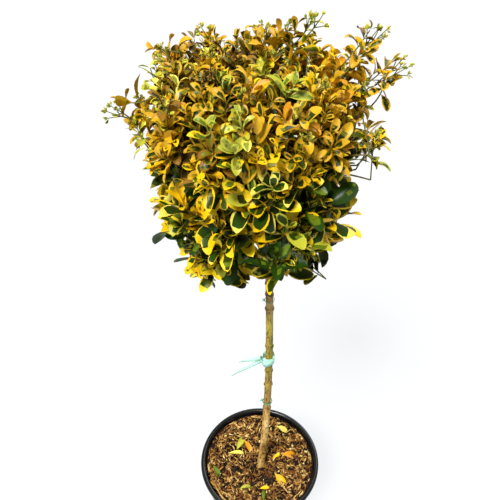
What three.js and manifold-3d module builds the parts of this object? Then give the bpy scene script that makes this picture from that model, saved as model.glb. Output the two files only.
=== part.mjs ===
// A standard euonymus: one bare stem with a clipped, grown-out head of golden variegated
// leaves, in a black nursery pot. Millimetres, +Z up, the front is -Y. The origin is the
// centre of the pot's flat underside.

import * as THREE from 'three';
import { mergeVertices } from 'three/addons/utils/BufferGeometryUtils.js';
import Module from 'manifold-3d';

const wasm = await Module();
wasm.setup();

// ---- Driving dimensions ----

const gap = 0.3; // left between pieces that touch

const pot = {
  height: 260,
  rimRadius: 140,
  footRadius: 104,
  wall: 3,
  roll: 5.5, // radius of the rolled rim
  collarHeight: 26,
  collarStep: 3,
  sides: 32,
  drainHoles: 6,
  drainRadius: 7,
  drainRing: 70,
};

const soil = {
  level: 230, // round the stem
  edgeRise: 18, // how much higher the mulch lies at the wall
  unevenness: 2.2,
  flatPatch: 24,
};

const trunk = {
  top: 926,
  footX: 3.4, // the stem leans to the right of the pot's centre and bows back a little
  bowX: 24.5,
  bowHeight: 540,
  topX: 8,
  footRadius: 8.6,
  topRadius: 6.4,
  flare: 3.6, // added at the soil, where the roots spread
  flareHeight: 13,
  scarHeights: [372, 468, 548, 593, 667, 766, 801, 828], // rings left by old leaves
  scarSwell: 0.9,
  scarWidth: 4,
  plainSteps: 9,
  sides: 10,
};

const crown = {
  bottom: 880,
  top: 1206,
  radius: 152,
  centreX: -16,
  centreY: 2,
  taper: 0.05, // how much narrower it is at the underside
  topSquareness: 5.5,
  underSquareness: 2.7,
  swell: 0.055,
};

// The head is hollow up its middle, where the boughs run; the leaves are round that core.
const core = { lowRadius: 34, highRadius: 40, centredAt: 1000, ceiling: 1092 };

const rings = [
  { name: 'lower', count: 4, height: 932, turn: 40 },
  { name: 'middle', count: 5, height: 1020, turn: 18 },
  { name: 'upper', count: 5, height: 1110, turn: 54 },
];
const topRing = { name: 'top', count: 2, height: 1148, turn: 72, reach: 44 };
const massDetail = 3; // subdivision of each mass
const massRounding = 9; // higher leaves sharper grooves between masses

// Each bough swings out from the trunk, climbs the core and turns out to its mass. The
// last three sizes are distances out from the trunk's axis, then the core's, and a radius.
const boughs = {
  lower: { leaves: 876, from: 0, swing: 20, climbsAt: 26, thickness: 3.2 },
  middle: { leaves: 884, from: 0, swing: 22, climbsAt: 9, thickness: 3.3 },
  upper: { leaves: 901, from: 0, swing: 27, climbsAt: 18, thickness: 3.2 },
  top: { leaves: 918, from: 3.5, swing: 4, climbsAt: 2.6, thickness: 2.9 },
};
const boughRise = 12; // how far a bough has climbed when it has swung out
const boughTip = 1.9;
const boughSides = 5;
const boughSteps = 6;

// Sprays that stand out of the head. Each goes from a root inside it to its furthest tip.
const shoots = [
  { name: 'shoot_left', root: [-122, -32, 1108], tip: [-184, -32, 1166], girth: 18 },
  { name: 'shoot_upper_left', root: [-96, 20, 1150], tip: [-141, 27, 1214], girth: 21 },
  { name: 'shoot_back_left', root: [-62, 58, 1158], tip: [-74, 62, 1230], girth: 16 },
  { name: 'shoot_top', root: [12, 30, 1160], tip: [30, 42, 1230], girth: 18 },
  { name: 'shoot_top_right', root: [46, 24, 1160], tip: [54, 30, 1252], girth: 17 },
  { name: 'shoot_right_top', root: [92, 6, 1140], tip: [131, 2, 1243], girth: 18 },
  { name: 'shoot_right', root: [92, -6, 1132], tip: [171, -4, 1204], girth: 13 },
  { name: 'shoot_right_side', root: [104, -22, 1092], tip: [157, -22, 1112], girth: 15 },
  { name: 'shoot_back', root: [-6, 100, 1150], tip: [4, 132, 1212], girth: 17 },
];
const shootSides = 6;
const shootSteps = 5;

const ties = [
  { name: 'tie_upper', height: 788 },
  { name: 'tie_lower', height: 490 },
];
const tieWire = 1;
const tieSides = 10;

const ribbon = { height: 629, width: 21, thickness: 0.8, slack: 4, looseToLeft: 2, tilt: 8 };
// Each tail leaves the band at a height from its middle and ends that far to the left and down.
const ribbonTails = [
  { from: 4, reach: 46, drop: 4, rootWidth: 8, tipWidth: 3 },
  { from: -3, reach: 62, drop: 50, rootWidth: 7, tipWidth: 2 },
];

// ---- Materials ----

const plain = (color, roughness) => new THREE.MeshStandardMaterial({ color, roughness, metalness: 0 });
const blackPlastic = plain(0x17191c, 0.45);
const barkMix = plain(0x7a4f24, 0.95);
const bark = plain(0x9a8450, 0.85);
const goldLeaf = plain(0xd9a411, 0.45);
const olderLeaf = plain(0x6f7d1c, 0.45);
const limeTip = plain(0xb9b12a, 0.5);
const greenTwine = plain(0x2f8f6a, 0.5);
const paleRibbon = plain(0xb9ecd8, 0.4);

// ---- Shape helpers ----

const group = new THREE.Group();

function addPiece(name, geometry, material) {
  geometry.computeVertexNormals();
  const piece = new THREE.Mesh(geometry, material);
  piece.name = name;
  group.add(piece);
  return piece;
}

// Merges the shared vertices, so that the mesh is one closed body.
function welded(geometry) {
  geometry.deleteAttribute('normal');
  geometry.deleteAttribute('uv');
  return mergeVertices(geometry);
}

function toSolid(geometry) {
  const vertProperties = new Float32Array(geometry.attributes.position.array);
  const triVerts = new Uint32Array(geometry.index.array);
  return new wasm.Manifold(new wasm.Mesh({ numProp: 3, vertProperties, triVerts }));
}

// The largest body of a solid, as a geometry: cuts can leave slivers behind.
function toGeometry(solid) {
  const bodies = solid.decompose();
  bodies.sort((a, b) => b.volume() - a.volume());
  const mesh = bodies[0].getMesh();
  const geometry = new THREE.BufferGeometry();
  geometry.setAttribute('position', new THREE.BufferAttribute(new Float32Array(mesh.vertProperties), 3));
  geometry.setIndex(new THREE.BufferAttribute(new Uint32Array(mesh.triVerts), 1));
  return geometry;
}

function revolved(profile, sides) {
  const points = profile.map(([r, z]) => new THREE.Vector2(r, z));
  return welded(new THREE.LatheGeometry(points, sides).rotateX(Math.PI / 2));
}

// A closed round body whose rings stand at places along its length. ringAt gives each
// ring's centre, its radius and the two directions that it is drawn in.
function ringed(ringCount, sides, ringAt) {
  const geometry = new THREE.CylinderGeometry(1, 1, 1, sides, ringCount - 1);
  const position = geometry.attributes.position;
  const made = Array.from({ length: ringCount }, (_, i) => ringAt(i));
  for (let i = 0; i < position.count; i += 1) {
    const { centre, radius, normal, side } = made[Math.round((position.getY(i) + 0.5) * (ringCount - 1))];
    const place = centre.clone();
    place.addScaledVector(normal, position.getX(i) * radius);
    place.addScaledVector(side, position.getZ(i) * radius);
    position.setXYZ(i, place.x, place.y, place.z);
  }
  return welded(geometry);
}

// A limb along a curve, whose radius is a function of the way along it, from 0 to 1.
function limb(curve, radiusAt, steps, sides) {
  const { tangents, normals } = curve.computeFrenetFrames(steps);
  return ringed(steps + 1, sides, (i) => ({
    centre: curve.getPointAt(i / steps),
    radius: radiusAt(i / steps),
    normal: normals[i],
    side: normals[i].clone().cross(tangents[i]),
  }));
}

// Smooth unevenness between about -1 and 1, the same for the same place.
function unevenness(p, scale) {
  const a = Math.sin(p.x / scale + 1.7 * Math.sin(p.z / scale + 0.6));
  const b = Math.sin(p.y / scale * 1.13 + 1.4 * Math.sin(p.x / scale * 0.9 + 2.1));
  const c = Math.sin(p.z / scale * 0.94 + 1.6 * Math.sin(p.y / scale * 1.07 + 4));
  return (a + b + c) / 2.2;
}

// ---- Pot ----

const potFloor = 4;
const wallTopHeight = pot.height - pot.collarHeight;
const rimInnerRadius = pot.rimRadius - 2 * pot.roll;
const wallTopRadius = rimInnerRadius + pot.wall;

// The inside radius of the pot's wall below the collar.
function potInsideRadius(z) {
  const along = Math.min(1, (z - potFloor) / (wallTopHeight - potFloor));
  return THREE.MathUtils.lerp(pot.footRadius, wallTopRadius, along) - pot.wall;
}

function potGeometry() {
  const profile = [
    [0, 0],
    [pot.footRadius - 4, 0],
    [pot.footRadius, potFloor],
    [wallTopRadius, wallTopHeight],
    [wallTopRadius + pot.collarStep, wallTopHeight + 1],
    [wallTopRadius + pot.collarStep, pot.height - 2 * pot.roll],
  ];
  const rollSteps = 3;
  for (let i = 0; i <= rollSteps; i += 1) {
    const turn = THREE.MathUtils.lerp(-0.2, Math.PI, i / rollSteps);
    profile.push([
      pot.rimRadius - pot.roll + pot.roll * Math.cos(turn),
      pot.height - pot.roll + pot.roll * Math.sin(turn),
    ]);
  }
  profile.push([rimInnerRadius, wallTopHeight], [potInsideRadius(potFloor), potFloor], [0, potFloor]);
  let solid = toSolid(revolved(profile, pot.sides));
  for (let i = 0; i < pot.drainHoles; i += 1) {
    const turn = (2 * Math.PI * i) / pot.drainHoles;
    const hole = new THREE.CylinderGeometry(pot.drainRadius, pot.drainRadius, 4 * potFloor, 12);
    hole.rotateX(Math.PI / 2);
    hole.translate(pot.drainRing * Math.cos(turn), pot.drainRing * Math.sin(turn), 0);
    solid = solid.subtract(toSolid(welded(hole)));
  }
  return toGeometry(solid);
}

function pottingMixGeometry() {
  const underside = potFloor + gap;
  const edge = rimInnerRadius - gap;
  const profile = [
    [0, underside],
    [potInsideRadius(underside) - gap, underside],
    [edge, wallTopHeight],
  ];
  for (const share of [1, 0.8, 0.5]) {
    profile.push([edge * share, soil.level + soil.edgeRise * share ** 2]);
  }
  profile.push([soil.flatPatch, soil.level], [0, soil.level]);
  const geometry = revolved(profile, pot.sides);
  const position = geometry.attributes.position;
  for (let i = 0; i < position.count; i += 1) {
    const p = new THREE.Vector3().fromBufferAttribute(position, i);
    const radius = Math.hypot(p.x, p.y);
    const onTop = p.z > soil.level + 1 && radius > soil.flatPatch + 1 && radius < edge - 1;
    if (onTop) position.setZ(i, p.z + soil.unevenness * unevenness(p, 17));
  }
  return geometry;
}

// ---- Trunk ----

const trunkFoot = soil.level + gap;
const trunkCurve = new THREE.QuadraticBezierCurve3(
  new THREE.Vector3(trunk.footX, 0, trunkFoot),
  new THREE.Vector3(trunk.bowX, 0, trunk.bowHeight),
  new THREE.Vector3(trunk.topX, 0, trunk.top),
);

// The point on the trunk's axis at a height.
function trunkAxis(z) {
  let low = 0;
  let high = 1;
  while (high - low > 1e-5) {
    const middle = (low + high) / 2;
    if (trunkCurve.getPointAt(middle).z < z) low = middle;
    else high = middle;
  }
  return trunkCurve.getPointAt(low);
}

function trunkRadius(z) {
  const along = (z - trunkFoot) / (trunk.top - trunkFoot);
  let radius = THREE.MathUtils.lerp(trunk.footRadius, trunk.topRadius, along);
  radius += trunk.flare * Math.exp(-(z - trunkFoot) / trunk.flareHeight);
  for (const height of trunk.scarHeights) {
    radius += trunk.scarSwell * Math.exp(-(((z - height) / trunk.scarWidth) ** 2));
  }
  return radius;
}

// Level rings: evenly spaced ones, and three at each scar and at the flare.
function trunkRingHeights() {
  const heights = [trunkFoot, trunkFoot + trunk.flareHeight / 2, trunkFoot + 2 * trunk.flareHeight];
  for (const scar of trunk.scarHeights) {
    heights.push(scar - 1.6 * trunk.scarWidth, scar, scar + 1.6 * trunk.scarWidth);
  }
  for (let i = 2; i <= trunk.plainSteps; i += 1) {
    const height = THREE.MathUtils.lerp(trunkFoot, trunk.top, i / trunk.plainSteps);
    const crowded = heights.some((other) => Math.abs(other - height) < 2 * trunk.scarWidth);
    if (!crowded) heights.push(height);
  }
  return heights.sort((a, b) => a - b);
}

function trunkGeometry(extra = 0) {
  const heights = trunkRingHeights();
  return ringed(heights.length, trunk.sides, (i) => ({
    centre: trunkAxis(heights[i]),
    radius: trunkRadius(heights[i]) + extra,
    normal: new THREE.Vector3(1, 0, 0),
    side: new THREE.Vector3(0, -1, 0),
  }));
}

// ---- Foliage masses ----

const crownMiddle = (crown.bottom + crown.top) / 2;
const crownHalf = (crown.top - crown.bottom) / 2;

// How far the head reaches from its upright axis, at the height and side of a place.
function crownReach(p) {
  const rise = (p.z - crownMiddle) / crownHalf;
  if (Math.abs(rise) >= 1) return 0;
  const squareness = rise > 0 ? crown.topSquareness : crown.underSquareness;
  const rounding = (1 - Math.abs(rise) ** squareness) ** (1 / squareness);
  const width = crown.radius * (1 - (crown.taper * (1 - rise)) / 2);
  return width * rounding * (1 + crown.swell * unevenness(p, 31));
}

const insideCrown = (p) => Math.hypot(p.x - crown.centreX, p.y - crown.centreY) < crownReach(p);

// The way from a place inside the head to its surface.
function wayOut(from, direction) {
  const place = (distance) => from.clone().addScaledVector(direction, distance);
  let low = 0;
  let high = 4;
  while (insideCrown(place(high))) {
    low = high;
    high += 4;
  }
  for (let i = 0; i < 10; i += 1) {
    const middle = (low + high) / 2;
    if (insideCrown(place(middle))) low = middle;
    else high = middle;
  }
  return low;
}

// The hollow core follows the trunk at the bottom and the head's own axis higher up.
function coreAxis(z) {
  const along = THREE.MathUtils.smoothstep(z, crown.bottom, core.centredAt);
  const x = THREE.MathUtils.lerp(trunk.topX, crown.centreX, along);
  const y = THREE.MathUtils.lerp(0, crown.centreY, along);
  return new THREE.Vector3(x, y, z);
}

function coreRadius(z) {
  const along = THREE.MathUtils.smoothstep(z, rings[0].height, rings[1].height);
  return THREE.MathUtils.lerp(core.lowRadius, core.highRadius, along);
}

const bearing = (degrees) => {
  const turn = THREE.MathUtils.degToRad(degrees);
  return new THREE.Vector3(Math.cos(turn), Math.sin(turn), 0);
};

// Where each mass is centred, and the flat that keeps it out of the core.
function massSites() {
  const sites = [];
  for (const ring of rings) {
    for (let i = 0; i < ring.count; i += 1) {
      const outward = bearing(ring.turn + (360 * i) / ring.count);
      const axis = coreAxis(ring.height);
      const innerFace = axis.clone().addScaledVector(outward, coreRadius(ring.height));
      const outerFace = axis.clone().addScaledVector(outward, wayOut(axis, outward));
      const centre = innerFace.clone().lerp(outerFace, 0.5);
      const wall = { normal: outward.clone().negate(), point: innerFace };
      sites.push({ ring, number: i + 1, centre, walls: [wall], outward });
    }
  }
  for (let i = 0; i < topRing.count; i += 1) {
    const outward = bearing(topRing.turn + (360 * i) / topRing.count);
    const centre = coreAxis(topRing.height).addScaledVector(outward, topRing.reach);
    const wall = { normal: new THREE.Vector3(0, 0, -1), point: coreAxis(core.ceiling) };
    sites.push({ ring: topRing, number: i + 1, centre, walls: [wall], outward });
  }
  return sites;
}

// The faces midway between a mass and each of its neighbours.
function addSharedWalls(sites) {
  for (const site of sites) {
    for (const other of sites) {
      if (other === site) continue;
      const normal = other.centre.clone().sub(site.centre).normalize();
      const point = site.centre.clone().lerp(other.centre, 0.5).addScaledVector(normal, -gap / 2);
      site.walls.push({ normal, point });
    }
  }
}

// One mass: it fills its share of the head, with rounded shoulders where it meets the rest.
function massGeometry(site) {
  const geometry = welded(new THREE.IcosahedronGeometry(1, massDetail));
  const position = geometry.attributes.position;
  const rounding = (distances) => {
    const sum = distances.reduce((total, distance) => total + distance ** -massRounding, 0);
    return sum ** (-1 / massRounding);
  };
  for (let i = 0; i < position.count; i += 1) {
    const direction = new THREE.Vector3().fromBufferAttribute(position, i).normalize();
    const distances = [wayOut(site.centre, direction)];
    for (const { normal, point } of site.walls) {
      const facing = direction.dot(normal);
      if (facing > 0.01) distances.push(point.clone().sub(site.centre).dot(normal) / facing);
    }
    direction.multiplyScalar(rounding(distances)).add(site.centre);
    position.setXYZ(i, direction.x, direction.y, direction.z);
  }
  return geometry;
}

// A mass grown a little about its own centre, to cut its neighbours clear of it.
function grownMass(site) {
  const growth = 1.012;
  const geometry = site.geometry.clone();
  geometry.translate(-site.centre.x, -site.centre.y, -site.centre.z);
  geometry.scale(growth, growth, growth);
  geometry.translate(site.centre.x, site.centre.y, site.centre.z);
  return toSolid(geometry);
}

// ---- Boughs ----

// Each bough leaves the head of the trunk and ends where it enters its mass.
function boughGeometry(site, grownTrunk) {
  const { outward, centre } = site;
  const bough = boughs[site.ring.name];
  const start = trunkAxis(bough.leaves).addScaledVector(outward, bough.from);
  const swing = start.clone().addScaledVector(outward, bough.swing);
  swing.z += boughRise;
  const turn = coreAxis(centre.z).addScaledVector(outward, bough.climbsAt);
  const curve = new THREE.CubicBezierCurve3(start, swing, turn, centre);
  const radiusAt = (along) => THREE.MathUtils.lerp(bough.thickness, boughTip, along);
  const whole = toSolid(limb(curve, radiusAt, boughSteps, boughSides));
  return toGeometry(whole.subtract(grownTrunk).subtract(site.grown));
}

// ---- Shoots ----

// A leafy spray, widest above its root and running out to a fine tip.
function shootSolid(shoot, extra = 0) {
  const root = new THREE.Vector3(...shoot.root);
  const tip = new THREE.Vector3(...shoot.tip);
  const bend = root.clone().lerp(tip, 0.5);
  bend.z += root.distanceTo(tip) * 0.06;
  const curve = new THREE.QuadraticBezierCurve3(root, bend, tip);
  const radiusAt = (along) => {
    const body = Math.sin(Math.PI * (0.12 + 0.8 * along)) ** 0.8;
    return shoot.girth * body * (1 + 0.16 * unevenness(curve.getPointAt(along), 7)) + 1 + extra;
  };
  return toSolid(limb(curve, radiusAt, shootSteps, shootSides));
}

// ---- Ties and ribbon round the trunk ----

function tieGeometry(height) {
  const middle = trunkAxis(height);
  const radius = (trunkRadius(height) + gap) / Math.cos(Math.PI / tieSides) + tieWire;
  const ring = new THREE.TorusGeometry(radius, tieWire, 5, tieSides);
  return welded(ring.translate(middle.x, middle.y, middle.z));
}

// A plain marker ribbon: a loose band round the trunk with its two ends trailing to the left.
function ribbonGeometry() {
  const middle = trunkAxis(ribbon.height);
  const inner = trunkRadius(ribbon.height) + ribbon.slack;
  const outer = inner + ribbon.thickness;
  const half = ribbon.width / 2;
  const band = revolved([[inner, -half], [outer, -half], [outer, half], [inner, half], [inner, -half]], 16);
  band.rotateY(THREE.MathUtils.degToRad(-ribbon.tilt));
  let whole = toSolid(band);
  for (const tail of ribbonTails) {
    const root = -inner - ribbon.thickness / 2;
    const tip = -inner - tail.reach;
    const outline = new THREE.Shape();
    outline.moveTo(root, tail.from + tail.rootWidth / 2);
    outline.lineTo(tip, -tail.drop + tail.tipWidth / 2);
    outline.lineTo(tip, -tail.drop - tail.tipWidth / 2);
    outline.lineTo(root, tail.from - tail.rootWidth / 2);
    const blade = new THREE.ExtrudeGeometry(outline, { depth: ribbon.thickness, bevelEnabled: false });
    blade.rotateX(Math.PI / 2);
    whole = whole.add(toSolid(welded(blade)));
  }
  return toGeometry(whole.translate([middle.x - ribbon.looseToLeft, middle.y, middle.z]));
}

// ---- Assembly ----

addPiece('pot', potGeometry(), blackPlastic);
addPiece('potting_mix', pottingMixGeometry(), barkMix);
addPiece('trunk', trunkGeometry(), bark);

const sites = massSites();
addSharedWalls(sites);
for (const site of sites) {
  site.geometry = massGeometry(site);
  site.grown = grownMass(site);
  const leaf = site.ring.name === 'lower' ? olderLeaf : goldLeaf;
  addPiece(`foliage_${site.ring.name}_${site.number}`, site.geometry, leaf);
}

const grownTrunk = toSolid(trunkGeometry(gap));
for (const site of sites) {
  addPiece(`bough_${site.ring.name}_${site.number}`, boughGeometry(site, grownTrunk), bark);
}

const neighbours = sites.map((site) => site.grown);
for (const shoot of shoots) {
  const spray = neighbours.reduce((solid, other) => solid.subtract(other), shootSolid(shoot));
  addPiece(shoot.name, toGeometry(spray), limeTip);
  neighbours.push(shootSolid(shoot, gap));
}

for (const tie of ties) addPiece(tie.name, tieGeometry(tie.height), greenTwine);
addPiece('ribbon', ribbonGeometry(), paleRibbon);

export default group;
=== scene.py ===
"""Looks of the potted standard euonymus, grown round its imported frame. Metres, +Z up, front -Y."""

import math

import bpy
import numpy as np
from mathutils import Matrix, Vector, noise
from mathutils.bvhtree import BVHTree


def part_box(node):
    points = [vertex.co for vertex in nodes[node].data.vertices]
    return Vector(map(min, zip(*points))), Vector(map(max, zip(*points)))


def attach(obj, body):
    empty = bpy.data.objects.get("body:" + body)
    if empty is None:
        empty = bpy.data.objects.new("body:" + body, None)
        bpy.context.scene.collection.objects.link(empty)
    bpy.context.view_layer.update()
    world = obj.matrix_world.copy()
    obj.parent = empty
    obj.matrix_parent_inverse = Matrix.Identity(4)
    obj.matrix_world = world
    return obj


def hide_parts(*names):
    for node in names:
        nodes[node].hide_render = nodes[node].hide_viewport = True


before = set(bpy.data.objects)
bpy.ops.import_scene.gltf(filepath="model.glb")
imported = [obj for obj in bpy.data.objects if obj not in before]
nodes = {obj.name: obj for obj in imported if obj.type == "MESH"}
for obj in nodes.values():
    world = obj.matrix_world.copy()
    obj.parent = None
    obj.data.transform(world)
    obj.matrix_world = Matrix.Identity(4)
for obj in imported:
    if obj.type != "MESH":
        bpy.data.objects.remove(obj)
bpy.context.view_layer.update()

UP = np.array([0.0, 0.0, 1.0])
MM = 0.001

# ---- Small vector helpers ----


def unit(v):
    return v / (np.linalg.norm(v) + 1e-12)


def square_to(v, axis):
    """The part of v that is square to axis, at length 1."""
    return unit(v - axis * (v @ axis))


def two_sides(axis):
    """Two directions square to axis and to each other."""
    near = np.array([1.0, 0, 0]) if abs(axis[0]) < 0.8 else np.array([0, 1.0, 0])
    first = square_to(near, axis)
    return first, np.cross(axis, first)


def bent_path(start, bend, end, steps):
    """Points on a quadratic curve from start to end, pulled towards bend."""
    t = np.linspace(0, 1, steps)[:, None]
    return (1 - t) ** 2 * start + 2 * t * (1 - t) * bend + t**2 * end


# ---- Gathering many small shapes into one mesh ----


class Gathering:
    """Triangles of one kind of thing, which become one object with several plain materials."""

    def __init__(self):
        self.points, self.triangles, self.colours, self.count = [], [], [], 0

    def add(self, points, triangles, colours):
        self.points.append(points)
        self.triangles.append(triangles + self.count)
        self.colours.append(np.broadcast_to(colours, len(triangles)))
        self.count += len(points)

    def make(self, name, materials):
        points = np.concatenate(self.points).astype(np.float32)
        triangles = np.concatenate(self.triangles).astype(np.int32)
        colours = np.concatenate(self.colours).astype(np.int32)
        return mesh_object(name, points, triangles, materials, colours)


def gatherings(*kinds):
    return {kind: Gathering() for kind in kinds}


def mesh_object(name, points, triangles, materials, colours=None):
    mesh = bpy.data.meshes.new(name)
    mesh.vertices.add(len(points))
    mesh.vertices.foreach_set("co", np.asarray(points, np.float32).ravel())
    mesh.loops.add(3 * len(triangles))
    mesh.loops.foreach_set("vertex_index", np.asarray(triangles, np.int32).ravel())
    mesh.polygons.add(len(triangles))
    mesh.polygons.foreach_set("loop_start", np.arange(0, 3 * len(triangles), 3, dtype=np.int32))
    if colours is not None:
        mesh.polygons.foreach_set("material_index", colours)
    mesh.polygons.foreach_set("use_smooth", np.ones(len(triangles), bool))
    for material in materials:
        mesh.materials.append(material)
    mesh.update(calc_edges=True)
    mesh.validate()
    made = bpy.data.objects.new(name, mesh)
    bpy.context.scene.collection.objects.link(made)
    return made


def grid_triangles(rows, columns, closed):
    """Triangles of a grid of points, numbered row by row. closed joins the last column to the first."""
    triangles = []
    for i in range(rows - 1):
        for j in range(columns if closed else columns - 1):
            a, b = i * columns + j, i * columns + (j + 1) % columns
            triangles += [(a, b, b + columns), (a, b + columns, a + columns)]
    return np.array(triangles)


def end_caps(foot, tip, last, sides):
    """Fans from the point foot to the first ring, and from the point tip to the ring that starts at last."""
    caps = []
    for j in range(sides):
        k = (j + 1) % sides
        caps += [(foot, k, j), (tip, last + j, last + k)]
    return np.array(caps)


def tube(path, radii, sides):
    """A closed round limb along a path: its points and triangles."""
    tangents = np.gradient(path, axis=0)
    normal = two_sides(unit(tangents[0]))[0]
    angles = np.linspace(0, 2 * math.pi, sides, endpoint=False)
    rings = []
    for centre, tangent, radius in zip(path, tangents, radii):
        tangent = unit(tangent)
        normal = square_to(normal, tangent)
        side = np.cross(tangent, normal)
        rings.append(centre + radius * (np.outer(np.cos(angles), normal) + np.outer(np.sin(angles), side)))
    points = np.concatenate([*rings, path[:1], path[-1:]])
    steps = len(path)
    foot, tip = steps * sides, steps * sides + 1
    caps = end_caps(foot, tip, (steps - 1) * sides, sides)
    return points, np.concatenate([grid_triangles(steps, sides, True), caps])


# ---- Materials ----


def linear(hex_colour):
    """The linear colour of an sRGB hex colour such as 'd9a411'."""
    values = [int(hex_colour[i : i + 2], 16) / 255 for i in (0, 2, 4)]
    return [v / 12.92 if v <= 0.04045 else ((v + 0.055) / 1.055) ** 2.4 for v in values] + [1.0]


class Shader:
    """A Principled material whose roughness and bump come from noise in the object's own space."""

    def __init__(self, name, colour, roughness, specular=0.5):
        self.material = bpy.data.materials.new(name)
        self.material.use_nodes = True
        self.tree = self.material.node_tree
        self.principled = self.tree.nodes["Principled BSDF"]
        self.principled.inputs["Base Color"].default_value = linear(colour)
        self.principled.inputs["Roughness"].default_value = roughness
        self.principled.inputs["Specular IOR Level"].default_value = specular
        self.place = self.node("ShaderNodeTexCoord").outputs["Object"]

    def node(self, kind, **settings):
        made = self.tree.nodes.new(kind)
        for key, value in settings.items():
            setattr(made, key, value)
        return made

    def link(self, source, target):
        self.tree.links.new(source, target)

    def noise(self, scale, detail=3.0, stretch=(1, 1, 1), rough=0.5):
        mapping = self.node("ShaderNodeMapping")
        mapping.inputs["Scale"].default_value = stretch
        self.link(self.place, mapping.inputs["Vector"])
        texture = self.node("ShaderNodeTexNoise")
        texture.inputs["Scale"].default_value = scale
        texture.inputs["Detail"].default_value = detail
        texture.inputs["Roughness"].default_value = rough
        self.link(mapping.outputs["Vector"], texture.inputs["Vector"])
        return texture.outputs["Fac"]

    def ramp(self, source, stops):
        """stops is a list of (position, hex colour)."""
        made = self.node("ShaderNodeValToRGB")
        elements = made.color_ramp.elements
        while len(elements) < len(stops):
            elements.new(0.5)
        for element, (position, colour) in zip(elements, stops):
            element.position = position
            element.color = linear(colour)
        self.link(source, made.inputs["Fac"])
        return made.outputs["Color"]

    def mix(self, factor, first, second):
        made = self.node("ShaderNodeMix", data_type="RGBA")
        for socket, value in ((made.inputs[0], factor), (made.inputs[6], first), (made.inputs[7], second)):
            if isinstance(value, (float, int)):
                socket.default_value = value
            elif isinstance(value, str):
                socket.default_value = linear(value)
            else:
                self.link(value, socket)
        return made.outputs[2]

    def rough_between(self, source, low, high):
        made = self.node("ShaderNodeMapRange")
        made.inputs["To Min"].default_value = low
        made.inputs["To Max"].default_value = high
        self.link(source, made.inputs["Value"])
        self.link(made.outputs["Result"], self.principled.inputs["Roughness"])

    def bump(self, source, strength, distance):
        made = self.node("ShaderNodeBump")
        made.inputs["Strength"].default_value = strength
        made.inputs["Distance"].default_value = distance
        self.link(source, made.inputs["Height"])
        self.link(made.outputs["Normal"], self.principled.inputs["Normal"])

    def colour(self, source):
        self.link(source, self.principled.inputs["Base Color"])


def leaf_material(name, colour, roughness, specular):
    shader = Shader(name, colour, roughness, specular)
    blotch = shader.noise(260, 2)
    shader.rough_between(blotch, roughness - 0.07, roughness + 0.12)
    shader.bump(blotch, 0.25, 0.4 * MM)
    return shader.material


# Each tone's sRGB colour, roughness and specular level.
LEAF_TONES = {
    "gold": ("ecc20e", 0.38, 0.3),
    "deep_gold": ("d6a812", 0.38, 0.3),
    "yellow": ("edce1e", 0.38, 0.3),
    "amber": ("c89d1c", 0.4, 0.26),
    "orange": ("cc8c12", 0.4, 0.26),
    "russet": ("8c6414", 0.48, 0.2),
    # Painted shade: a dark brown that stands in for the shade on leaves deep in the head's top.
    "painted_shade_brown": ("40300c", 0.46, 0.12),
    "lemon": ("eddd5c", 0.38, 0.3),
    "lime": ("b6b636", 0.38, 0.3),
    "olive": ("706e12", 0.4, 0.26),
    "green": ("5e7212", 0.4, 0.26),
    "dark_green": ("2b3906", 0.34, 0.28),
    "shade": ("151d05", 0.45, 0.12),
    "deep_green": ("24400a", 0.34, 0.28),
    "pale_green": ("8c9432", 0.4, 0.26),
}
leaf_tones = [leaf_material("leaf_" + name, *look) for name, look in LEAF_TONES.items()]
TONE = {name: i for i, name in enumerate(LEAF_TONES)}


def tones(*names):
    return np.array([TONE[name] for name in names])


# ---- Leaves ----

LEAF_ROWS = np.array([0.09, 0.2, 0.33, 0.48, 0.63, 0.77, 0.88, 0.96])
LEAF_HALF_WIDTHS = np.array([0.028, 0.1, 0.185, 0.243, 0.262, 0.235, 0.17, 0.09])
LEAF_COLUMNS = 5


def leaf_topology():
    """Triangles of a leaf, whether each is in the centre rather than the margin, and its row."""
    rows, columns = len(LEAF_ROWS), LEAF_COLUMNS
    foot, tip = rows * columns, rows * columns + 1
    triangles, inner, row = [], [], []
    for j in range(columns - 1):
        triangles.append((foot, j + 1, j))
        inner.append(0 < j < columns - 2)
        row.append(0)
    for i in range(rows - 1):
        for j in range(columns - 1):
            a = i * columns + j
            b = a + columns
            triangles += [(a, a + 1, b + 1), (a, b + 1, b)]
            inner += [0 < j < columns - 2] * 2
            row += [i] * 2
    last = (rows - 1) * columns
    for j in range(columns - 1):
        triangles.append((last + j, last + j + 1, tip))
        inner.append(False)
        row.append(rows)
    return np.array(triangles), np.array(inner), np.array(row)


LEAF_TRIANGLES, LEAF_INNER, LEAF_ROW = leaf_topology()


class Variegation:
    """How a spray's leaves are coloured: tones for margin, centre and flames, and how wide the margin is."""

    def __init__(self, margin, centre, flames, margin_width, flame_share):
        self.margin, self.centre, self.flames = tones(*margin), tones(*centre), tones(*flames)
        self.margin_width, self.flame_share = margin_width, flame_share

    def deal(self, rng):
        """One spray's own tones."""
        return rng.choice(self.margin), rng.choice(self.centre), rng.choice(self.flames)


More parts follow.
